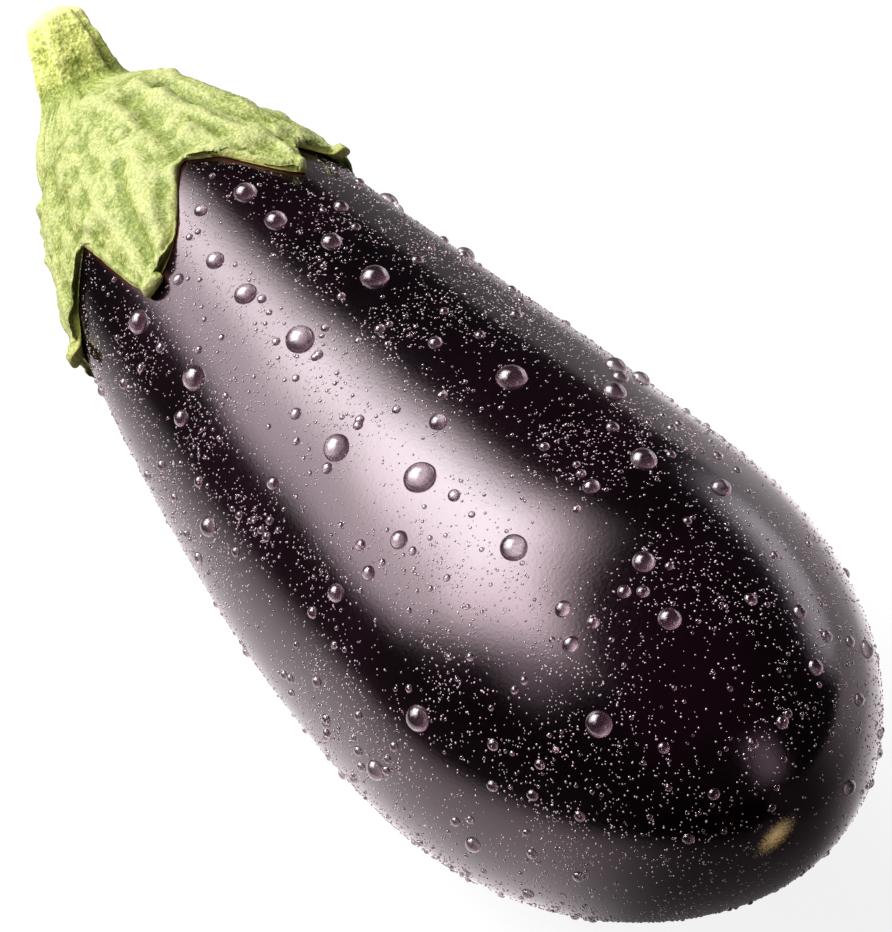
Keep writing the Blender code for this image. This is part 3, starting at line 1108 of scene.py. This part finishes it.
def string_beads(name, spots, detail, finish=water_finish):
    """One object out of beads at (place, outward, half width, height share, seed)."""
    shape, corners = bead_shape(detail)
    bm = bmesh.new()
    for place, outward, half, tall, seed in spots:
        side = outward.orthogonal().normalized()
        spin = Matrix.Rotation(seed, 3, outward)
        basis = np.array([spin @ side, spin @ outward.cross(side), outward]).T
        long = 1 + BEAD_OVAL * math.sin(seed * OVAL_PACE)
        size = np.array([half * long, half / long, half * tall])
        moved = (corners * size) @ basis.T + np.array(place - outward * half * tall * BEAD_SINK)
        shape.vertices.foreach_set("co", moved.ravel().astype(np.float32))
        bm.from_mesh(shape)
    bpy.data.meshes.remove(shape)
    made = smooth_object(name, bm, finish)
    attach(made, "root")
    return made


# %% The large beads
# Distance from the blossom tip (mm), angle (degrees, 90 is up), width (mm)
LARGE_BEADS = (
    (164, 104, 2.6), (162, 89, 4.4), (157, 142, 4.5), (151, 89, 4.3), (151, 111, 3.6), (149, 68, 2.9),
    (139, 111, 4.3), (139, 82, 3.9), (135, 137, 5.0), (133, 148, 3.2), (125, 82, 5.3), (121, 109, 5.6),
    (115, 163, 3.9), (103, 138, 2.6), (102, 86, 2.7), (96, 121, 5.1), (86, 80, 5.4), (85, 101, 3.3),
    (78, 113, 5.8), (77, 145, 3.3), (73, 136, 2.6), (72, 126, 3.3), (57, 177, 3.7), (56, 74, 4.6),
    (55, 89, 2.9), (54, 111, 4.8), (50, 155, 4.6), (46, 62, 3.6), (40, 114, 2.9), (38, 93, 3.8),
    (36, 183, 3.0), (35, 119, 2.9), (28, 98, 3.8), (24, 131, 4.4), (21, 62, 2.6), (13, 64, 2.9),
)
BEAD_SEED = 5
LARGE_HEIGHT = 0.86  # height of a bead as a share of its half width


def large_spots():
    random.seed(BEAD_SEED)
    spots = []
    for x, angle, width in LARGE_BEADS:
        place, outward = skin_spot(x * MM, angle)
        spots.append((place, outward, width * MM / 2, LARGE_HEIGHT, random.uniform(0, 6)))
    return spots


large = large_spots()
string_beads("beads_large", large, 4)


# %% Beads strewn over the rest
SMALL_HEIGHT = 0.8
SMALL_BIAS = 2.2  # the higher, the fewer of the wider beads
WET_SPACING = 15 * MM
WET_MIDDLE, WET_SWING, WET_LEAST = 0.6, 1.1, 0.2
APART = 1.1
LARGE_SPACING = 17 * MM
MIST_PIECES = 3


def thickly_wet(place):
    """From 0 to 1: how thickly the beads lie here."""
    return min(1.0, max(WET_LEAST, WET_MIDDLE + WET_SWING * noise.noise(place / WET_SPACING)))


def strewn(count, smallest, largest, keep_off):
    """Spots with random widths, mostly small ones, that keep off the beads in keep_off."""
    taken = point_tree([spot[0] for spot in keep_off])
    spots = []
    while len(spots) < count:
        x = FRUIT_LENGTH * random.random()
        angle = random.uniform(0, 360)
        size = random.random() ** SMALL_BIAS
        seed = random.uniform(0, 6)
        chance = random.random()
        if chance > fruit_radius(x) / BELLY_RADIUS:
            continue
        place, outward = skin_spot(x, angle)
        if chance > thickly_wet(place):
            continue
        half = (smallest + (largest - smallest) * size) * MM / 2
        found = taken.find(place)
        if found[1] is not None and found[2] < keep_off[found[1]][2] + half * APART:
            continue
        if is_free(place, half + CALYX_MARGIN):
            spots.append((place, outward, half, SMALL_HEIGHT, seed))
    return spots


random.seed(BEAD_SEED + 1)


def crowded(place, outward):
    """Whether large beads lie near already, or one would hang under the fruit."""
    return outward.z < 0 or any((place - other[0]).length < LARGE_SPACING for other in large)


more_large = [spot for spot in strewn(110, 2.0, 5.2, large) if not crowded(spot[0], spot[1])]
string_beads("beads_far_sides", more_large, 3)
middling = strewn(560, 0.9, 2.4, large + more_large)
string_beads("beads_middling", middling, 3)
small = strewn(2400, 0.45, 0.95, large + more_large + middling)
string_beads("beads_small", small, 2)
for part in range(MIST_PIECES):
    fine = strewn(9000, 0.24, 0.5, large + more_large)
    string_beads(f"mist_{part + 1}", fine, 1, mist_finish)


# %% [markdown]
# ## Floor, light and camera
# A pale floor, and the light of a studio with large soft boxes. The boxes are painted into the world as
# soft-edged panels, each by its direction, its size and its strength, since only their reflections and
# their light matter. One tall box stands by the stem end and draws the long bright band down the fruit.

# %% Floor
FLOOR_RADIUS = 3.0
BELLY_ON_FLOOR = (0.055, 0, 0)
GLOW_REACH = (0.11, 0.24)  # from full to hardly any, in metres from below the belly
GLOW_NEAR, GLOW_FAR, GLOW_BEHIND = 1.6, 0.04, 0.95
GLOW_TINT = (1.0, 0.92, 0.95)
FLOOR_LIFT = 0.98  # brightness of the even white that the visible floor is lifted towards
FLOOR_LIFT_SHARE = 0.88
floor_bm = bmesh.new()
bmesh.ops.create_circle(floor_bm, cap_ends=True, segments=96, radius=FLOOR_RADIUS)


def make_floor_finish():
    """Pale and matt to the eye; to reflections it glows, painted light near the fruit and painted shade on
    the blossom side.
    """
    made = empty_material("pale_floor")
    made.cycles.emission_sampling = "NONE"
    tree = made.node_tree
    shader = tree.nodes["Principled BSDF"]
    set_inputs(shader, Roughness=0.8)
    shader.inputs["Base Color"].default_value = (0.82, 0.82, 0.82, 1)
    place = add_node(tree, "ShaderNodeTexCoord").outputs["Object"]
    from_belly = vector_math(tree, "SUBTRACT", place, BELLY_ON_FLOOR)
    heading = add_node(tree, "ShaderNodeSeparateXYZ")
    tree.links.new(vector_math(tree, "NORMALIZE", from_belly), heading.inputs[0])
    side = add_node(tree, "ShaderNodeSeparateXYZ")
    tree.links.new(place, side.inputs[0])
    # Painted light and shade for reflections: the floor glows near the belly and behind the fruit and is
    # dimmed on the blossom side
    near = smooth_range(tree, vector_math(tree, "LENGTH", from_belly), *GLOW_REACH, GLOW_NEAR, GLOW_FAR)
    stem_side = smooth_range(tree, heading.outputs["X"], -0.85, -0.5, 0.8, 1.0)
    near = math_node(tree, "MULTIPLY", near, stem_side)
    behind = smooth_range(tree, side.outputs["Y"], 0.0, 0.04, 0.0, GLOW_BEHIND)
    narrow = smooth_range(tree, heading.outputs["X"], -0.8, -0.45, 0.25, 1.0)
    behind = math_node(tree, "MULTIPLY", behind, narrow)
    shade = smooth_range(tree, heading.outputs["X"], 0.35, 0.95, 1.0, 0.08)
    strength = math_node(tree, "MULTIPLY", math_node(tree, "MAXIMUM", near, behind), shade)
    glow = set_inputs(add_node(tree, "ShaderNodeEmission"), Color=(*GLOW_TINT, 1))
    tree.links.new(strength, glow.inputs["Strength"])
    bright = set_inputs(add_node(tree, "ShaderNodeEmission"), Strength=FLOOR_LIFT)
    lifted = mix_shaders(tree, FLOOR_LIFT_SHARE, shader.outputs[0], bright.outputs[0])
    seen = add_node(tree, "ShaderNodeLightPath").outputs["Is Camera Ray"]
    both = mix_shaders(tree, seen, glow.outputs[0], lifted)
    tree.links.new(both, tree.nodes["Material Output"].inputs["Surface"])
    return made


floor = smooth_object("floor", floor_bm, make_floor_finish())


# %% World panels
def compass(azimuth, elevation):
    """The direction at an angle round the fruit, 0 towards -Y and 90 towards +X, and a height."""
    a, e = math.radians(azimuth), math.radians(elevation)
    return Vector((math.sin(a) * math.cos(e), -math.cos(a) * math.cos(e), math.sin(e)))


# azimuth, elevation, half width, half height, softness (degrees), strength, colour
PANELS = (
    (-60, 43, 26, 21, 13, 12.6, (1.0, 0.95, 0.965)),
    (-70, 42, 15, 10, 11, 5.5, (0.78, 1.05, 0.97)),
    (-14, 42, 12, 14, 10, 1.9, (1.0, 0.93, 0.97)),
    (-53, 12, 17, 6, 7, 4.2, (1.0, 0.92, 0.96)),
    (98, 20, 6, 12, 9, 1.25, (1.0, 0.86, 0.95)),
    (-173, 8, 20, 8, 9, 3.2, (0.94, 0.96, 1.0)),
)
AMBIENT = (0.02, 0.02, 0.022)
BACKDROP = (0.9, 0.9, 0.9)


def panel_light(tree, direction, panel):
    azimuth, elevation, half_wide, half_high, soft, strength, colour = panel
    centre = compass(azimuth, elevation)
    wide = compass(azimuth + 90, 0)
    high = centre.cross(wide) * -1
    amount = strength
    for axis, half in ((wide, half_wide), (high, half_high)):
        far = math_node(tree, "ABSOLUTE", vector_math(tree, "DOT_PRODUCT", direction, axis), 0)
        edges = [math.sin(math.radians(max(0, half - soft))), math.sin(math.radians(half + soft))]
        amount = math_node(tree, "MULTIPLY", smooth_range(tree, far, *edges, 1.0, 0.0), amount)
    facing = vector_math(tree, "DOT_PRODUCT", direction, centre)
    amount = math_node(tree, "MULTIPLY", smooth_range(tree, facing, 0.0, 0.2), amount)
    scaled = add_node(tree, "ShaderNodeVectorMath", operation="SCALE")
    scaled.inputs[0].default_value = colour
    tree.links.new(amount, scaled.inputs["Scale"])
    return scaled.outputs[0]


def light_studio():
    world = bpy.data.worlds.new("studio")
    world.use_nodes = True
    bpy.context.scene.world = world
    tree = world.node_tree
    direction = add_node(tree, "ShaderNodeTexCoord").outputs["Generated"]
    total = AMBIENT
    for panel in PANELS:
        total = vector_math(tree, "ADD", total, panel_light(tree, direction, panel))
    seen = add_node(tree, "ShaderNodeLightPath").outputs["Is Camera Ray"]
    colour = mix_colour(tree, seen, total, BACKDROP)
    tree.links.new(colour, tree.nodes["Background"].inputs["Color"])
    print(len(PANELS), "soft panels")


light_studio()


# %% [markdown]
# ### Lamps
# Two lamps do what the painted boxes do poorly. A broad one over the stem end lights the matt greens
# evenly and throws their soft shadows, and a weak one low at the blossom end lights the dry scar. Both
# are kept out of the reflections.

# %% Lamps
def add_lamp(name, azimuth, elevation, distance, size, energy):
    light = bpy.data.lights.new(name, "AREA")
    light.shape = "DISK"
    light.size = size
    light.energy = energy
    lamp = bpy.data.objects.new(name, light)
    bpy.context.scene.collection.objects.link(lamp)
    towards = compass(azimuth, elevation)
    lamp.location = towards * distance
    lamp.rotation_euler = (-towards).to_track_quat("-Z", "Y").to_euler()
    lamp.visible_glossy = False
    lamp.visible_transmission = False
    print(f"{name}: {energy} W from {distance} m away")


add_lamp("fill", -24, 52, 1.5, 0.8, 9.0)
add_lamp("low_fill", 92, 12, 1.2, 0.5, 2.8)
bpy.context.scene.view_settings.view_transform = "Standard"


# %% Camera
CAMERA_AZIMUTH = 55.32
CAMERA_ELEVATION = 51.22
CAMERA_DISTANCE = 0.6346
CAMERA_TARGET = Vector((-0.0063, 0.008, 0.0412))

camera = bpy.data.objects.new("camera", bpy.data.cameras.new("camera"))
camera.data.lens = 135
camera.data.sensor_width = 36
camera.data.dof.use_dof = False
bpy.context.scene.collection.objects.link(camera)
back = compass(CAMERA_AZIMUTH, CAMERA_ELEVATION)
camera.location = CAMERA_TARGET + back * CAMERA_DISTANCE
camera.rotation_euler = (-back).to_track_quat("-Z", "Y").to_euler()
bpy.context.scene.camera = camera
print("camera at", [round(v, 3) for v in camera.location])


# %% [markdown]
# ## Finish

# %% Finish
bpy.context.view_layer.update()
